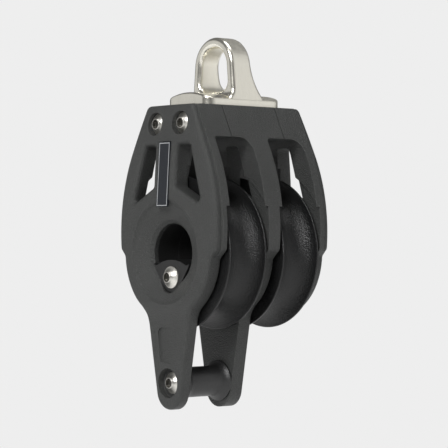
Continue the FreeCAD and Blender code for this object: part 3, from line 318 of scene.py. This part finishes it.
def screw_steel(name, colour):
    """Button-head screws: satin turned rings round hex sockets whose insides are painted dark as
    shade.
    """
    surface = Surface(name)
    distance = socket_distance(surface)
    rings = surface.maths("SINE", surface.maths("MULTIPLY", distance, RING_WAVES))
    clouds = surface.noise(700, 4)
    inside = surface.remap(distance, SOCKET_EDGE, SOCKET_INSIDE)
    # Painted shade: the inside of each socket is coloured dark.
    socket_shade = surface.blend(clouds, SOCKET_SHADE_DARK, SOCKET_SHADE_LIGHT)
    turned = surface.blend(surface.remap(rings, -1, 1), shade(colour, 0.9), colour)
    rough = surface.remap(clouds, *MIDDLE_BAND, *SCREW_ROUGHNESS)
    height = surface.maths("MULTIPLY_ADD", clouds, 2.0, rings)
    bump = surface.bump(height, 0.01 * MM, 0.4, surface.rounded(0.15 * MM))
    base = surface.blend(inside, turned, socket_shade)
    surface.drive(Base_Color=base, Roughness=rough, Normal=bump)
    surface.fixed(Metallic=1.0)
    return surface.material


POLISH_START = -2.6 * MM
POLISH_FULL = -3.5 * MM
SIDE_ON_BAND = (0.80, 0.97)
BRUSH_STRETCH = (1, 1, 0.10)
POLISHED_RELIEF = 0.15
SATIN_ROUGHNESS = (0.36, 0.46)
POLISHED_ROUGHNESS = (0.18, 0.30)


def polished_share(surface):
    """1 on the front of the casting and 0 behind it and on faces that look sideways."""
    place = surface.axes(surface.place)
    geometry = surface.new("ShaderNodeNewGeometry")
    facing = surface.axes(geometry.outputs["Normal"])
    sideways = surface.maths("ABSOLUTE", facing["X"])
    side_on = surface.remap(sideways, *SIDE_ON_BAND, smooth=True)
    front = surface.remap(place["Y"], POLISH_START, POLISH_FULL, smooth=True)
    return surface.maths("MULTIPLY", front, surface.maths("SUBTRACT", 1.0, side_on))


def cast_steel(name, colour):
    """The head: satin casting whose front rims and corners have been polished bright."""
    surface = Surface(name)
    polished = polished_share(surface)
    clouds = surface.noise(260, 4)
    pits = surface.noise(1500, 4, 0.7)
    brushed = surface.noise(900, 4, 0.65, stretch=BRUSH_STRETCH)
    rough = surface.new("ShaderNodeMix", data_type="FLOAT")
    surface.link(polished, rough.inputs[0])
    surface.link(surface.remap(brushed, *MIDDLE_BAND, *SATIN_ROUGHNESS), rough.inputs[2])
    surface.link(surface.remap(clouds, *MIDDLE_BAND, *POLISHED_ROUGHNESS), rough.inputs[3])
    cloud_part = surface.maths("MULTIPLY", clouds, 0.5)
    brushed_part = surface.remap(brushed, *MIDDLE_BAND)
    tone = surface.maths("MULTIPLY_ADD", brushed_part, 0.5, cloud_part)
    height = surface.maths("MULTIPLY_ADD", pits, 1.0, brushed)
    strength = surface.remap(polished, 0, 1, 1.0, POLISHED_RELIEF)
    bump = surface.bump(height, 0.05 * MM, strength, surface.rounded(0.2 * MM))
    base = surface.blend(tone, shade(colour, 0.9), colour)
    surface.drive(Base_Color=base, Roughness=rough.outputs[0], Normal=bump)
    surface.fixed(Metallic=1.0)
    return surface.material


BADGE_LINE_INSET = 0.34 * MM
BADGE_LINE_OUTER = 0.13 * MM
BADGE_LINE_INNER = 0.07 * MM
BADGE_LINE_COLOUR = (0.42, 0.43, 0.44)


def badge_material():
    """Black enamel with a thin pale line inside its edge, worked out from the badge's own box."""
    surface = Surface("badge_enamel")
    low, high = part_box("front_badge")
    place = surface.axes(surface.place)
    gaps = []
    for value, first, last in ((place["X"], low.x, high.x), (place["Z"], low.z, high.z)):
        from_middle = surface.gap_to(value, (first + last) / 2)
        gaps.append(surface.maths("SUBTRACT", (last - first) / 2, from_middle))
    off_line = surface.gap_to(surface.nearest(gaps), BADGE_LINE_INSET)
    line = surface.remap(off_line, BADGE_LINE_OUTER, BADGE_LINE_INNER)
    clouds = surface.noise(900, 3)
    enamel = surface.blend(clouds, (0.012, 0.014, 0.018), (0.020, 0.023, 0.029))
    colour = surface.blend(line, enamel, BADGE_LINE_COLOUR)
    surface.drive(Base_Color=colour, Normal=surface.bump(clouds, 0.01 * MM))
    surface.fixed(Roughness=0.4, Specular_IOR_Level=0.3)
    return surface.material


def make_materials():
    """One material for each material slot of the parts."""
    cheek = moulded(
        "cheek_composite",
        dark=(0.033, 0.0343, 0.0333),
        light=(0.062, 0.0635, 0.0615),
        roughness=0.46,
        cell=0.34 * MM,
        depth=0.15 * MM,
        speckle=1.4,
        edge=0.40 * MM,
        gloss=0.36,
        detail=seam_shadow,
    )
    sheave = moulded(
        "sheave_composite",
        dark=(0.004, 0.0042, 0.0044),
        light=(0.011, 0.0113, 0.0115),
        roughness=0.33,
        cell=0.36 * MM,
        depth=0.075 * MM,
        speckle=2.5,
        gloss=0.48,
    )
    race = moulded(
        "race_composite",
        dark=(0.008, 0.0082, 0.0082),
        light=(0.015, 0.0152, 0.0152),
        roughness=0.46,
        cell=0.4 * MM,
        depth=0.03 * MM,
        speckle=0.3,
    )
    bobbin = moulded(
        "bobbin_composite",
        dark=(0.018, 0.0182, 0.0184),
        light=(0.028, 0.0283, 0.0285),
        roughness=0.42,
        cell=0.4 * MM,
        depth=0.03 * MM,
        speckle=0.5,
    )
    balls = moulded(
        "ball_acetal",
        dark=(0.55, 0.53, 0.48),
        light=(0.66, 0.64, 0.58),
        roughness=0.22,
        cell=0.5 * MM,
        depth=0.004 * MM,
    )
    return {
        "stainless_head": cast_steel("stainless_head", (0.96, 0.93, 0.83)),
        "cheek_composite": cheek,
        "sheave_composite": sheave,
        "race_composite": race,
        "bobbin_composite": bobbin,
        "balls": balls,
        "pins": turned_steel("turned_pins", (0.55, 0.54, 0.53), roughness=0.3, scratch=0.12),
        "screws": screw_steel("stainless_screws", (0.90, 0.88, 0.82)),
        "badge": badge_material(),
    }


def dress_parts():
    """Give each part the material of its slot."""
    materials = make_materials()
    for part in frame["record"]["subparts"]:
        node = nodes[part["node"]]
        node.data.materials.clear()
        node.data.materials.append(materials[part["material_slot"]])


# ---------------------------------------------------------------- studio


FLOOR_RADIUS = 2.6
FLOOR_HEIGHT = -0.35
FLOOR_GLOW = 0.95


def floor_material():
    """Pale paper, with enough light of its own to match the studio wall."""
    surface = Surface("studio_floor")
    mottle = surface.noise(3, 2)
    colour = surface.blend(mottle, (0.118, 0.118, 0.118), (0.122, 0.122, 0.122))
    surface.drive(Base_Color=colour)
    surface.fixed(Roughness=0.9, Specular_IOR_Level=0.0)
    surface.fixed(Emission_Color=(*STUDIO, 1), Emission_Strength=FLOOR_GLOW)
    return surface.material


def add_floor():
    """A wide pale floor well below the block, which hangs as it does in use."""
    bpy.ops.mesh.primitive_circle_add(
        vertices=96,
        radius=FLOOR_RADIUS,
        fill_type="NGON",
        location=(0, 0, FLOOR_HEIGHT),
    )
    floor = bpy.context.object
    floor.name = "studio_floor"
    floor.data.materials.append(floor_material())


def add_light(name, place, size, watts):
    """A soft square lamp that points at the block."""
    data = bpy.data.lights.new(name, "AREA")
    data.size = size
    data.energy = watts
    lamp = bpy.data.objects.new(name, data)
    lamp.location = place
    lamp.rotation_euler = (-Vector(place)).to_track_quat("-Z", "Y").to_euler()
    bpy.context.scene.collection.objects.link(lamp)


def add_world(strength):
    """A pale wall all round, much dimmer as a lamp than it looks to the camera."""
    world = bpy.data.worlds.new("studio")
    world.use_nodes = True
    tree = world.node_tree
    wall = tree.nodes["Background"]
    wall.inputs["Color"].default_value = (*STUDIO, 1)
    lamp = tree.nodes.new("ShaderNodeBackground")
    lamp.inputs["Color"].default_value = (*STUDIO, 1)
    lamp.inputs["Strength"].default_value = strength
    path = tree.nodes.new("ShaderNodeLightPath")
    mix = tree.nodes.new("ShaderNodeMixShader")
    tree.links.new(path.outputs["Is Camera Ray"], mix.inputs["Fac"])
    tree.links.new(lamp.outputs[0], mix.inputs[1])
    tree.links.new(wall.outputs[0], mix.inputs[2])
    tree.links.new(mix.outputs[0], tree.nodes["World Output"].inputs["Surface"])
    bpy.context.scene.world = world


CAMERA_TURN = math.radians(48.97)
CAMERA_RISE = math.radians(0.28)
CAMERA_DISTANCE = 0.5434
CAMERA_LENS = 165.7
CAMERA_SENSOR = 36
CAMERA_SHIFT = 0.0645


def add_camera():
    """A long lens at the block's own height, towards the front cheek's right."""
    data = bpy.data.cameras.new("camera")
    data.lens = CAMERA_LENS
    data.sensor_width = CAMERA_SENSOR
    data.shift_y = CAMERA_SHIFT
    data.clip_start = 0.01
    data.clip_end = 200
    camera = bpy.data.objects.new("camera", data)
    level = math.cos(CAMERA_RISE)
    across = math.sin(CAMERA_TURN) * level
    way = Vector((across, -math.cos(CAMERA_TURN) * level, math.sin(CAMERA_RISE)))
    camera.location = way * CAMERA_DISTANCE
    camera.rotation_euler = (-way).to_track_quat("-Z", "Y").to_euler()
    bpy.context.scene.collection.objects.link(camera)
    bpy.context.scene.camera = camera


# Each lamp's name, place in metres, side in metres and power in watts.
LAMPS = (
    ("softbox_front", (0.50, -1.12, 0.78), 0.5, 14.5),
    ("softbox_left", (-1.25, -1.0, 0.15), 1.5, 3),
    ("softbox_top", (0.2, 0.0, 1.5), 0.9, 8),
    ("panel_behind", (1.1, 0.85, 0.35), 1.6, 4.7),
)
WALL_STRENGTH = 0.17

dress_parts()
bpy.context.scene.view_settings.view_transform = "Standard"
add_floor()
add_world(WALL_STRENGTH)
for lamp_settings in LAMPS:
    add_light(*lamp_settings)
add_camera()
